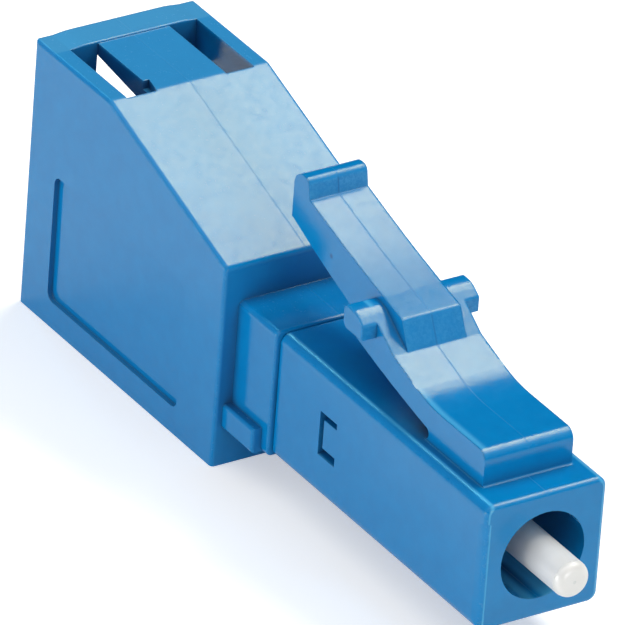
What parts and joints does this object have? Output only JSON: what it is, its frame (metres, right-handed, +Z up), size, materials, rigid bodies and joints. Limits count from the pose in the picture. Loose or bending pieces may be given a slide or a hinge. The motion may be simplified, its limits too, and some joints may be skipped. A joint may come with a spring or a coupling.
{
  "type": "fibre optic attenuator",
  "caption": "Blue plug-in fibre optic attenuator with a square latched plug, a white ceramic ferrule and a wedge-topped rear port.",
  "frame": {"origin": "centre of the plug's front face, on the optical axis", "axes": "+X out of the plug's nose along the optical axis, +Z up towards the latch"},
  "size_m": [0.0278, 0.006, 0.0107],
  "materials": {
    "plug_plastic": "satin moulded blue",
    "port_plastic": "satin moulded blue",
    "zirconia": "ground white ceramic",
    "fibre_glass": "clear",
    "flange_metal": "turned, nickel plated",
    "spring_steel": "drawn wire",
    "retainer_plastic": "natural"
  },
  "bodies": {
    "housing": {"plug_housing": "plug_plastic", "rear_housing": "port_plastic", "sleeve_retainer": "retainer_plastic", "split_sleeve": "zirconia", "ferrule_spring": "spring_steel"},
    "latch": {"latch_lever": "plug_plastic"},
    "ferrule_assembly": {"front_ferrule": "zirconia", "ferrule_flange": "flange_metal", "rear_ferrule": "zirconia", "attenuating_fibre": "fibre_glass"}
  },
  "joints": [
    {"name": "latch_press", "type": "hinge", "parent": "housing", "child": "latch", "pos_m": [-0.0053, 0, 0.00284], "axis": [0, -1, 0], "range_deg": [0, 13], "stiffness_Nm_per_rad": 0.11},
    {"name": "ferrule_float", "type": "slide", "parent": "housing", "child": "ferrule_assembly", "axis": [-1, 0, 0], "range_m": [0, 0.0005], "stiffness_N_per_m": 1700, "deforming": ["ferrule_spring"]}
  ]
}
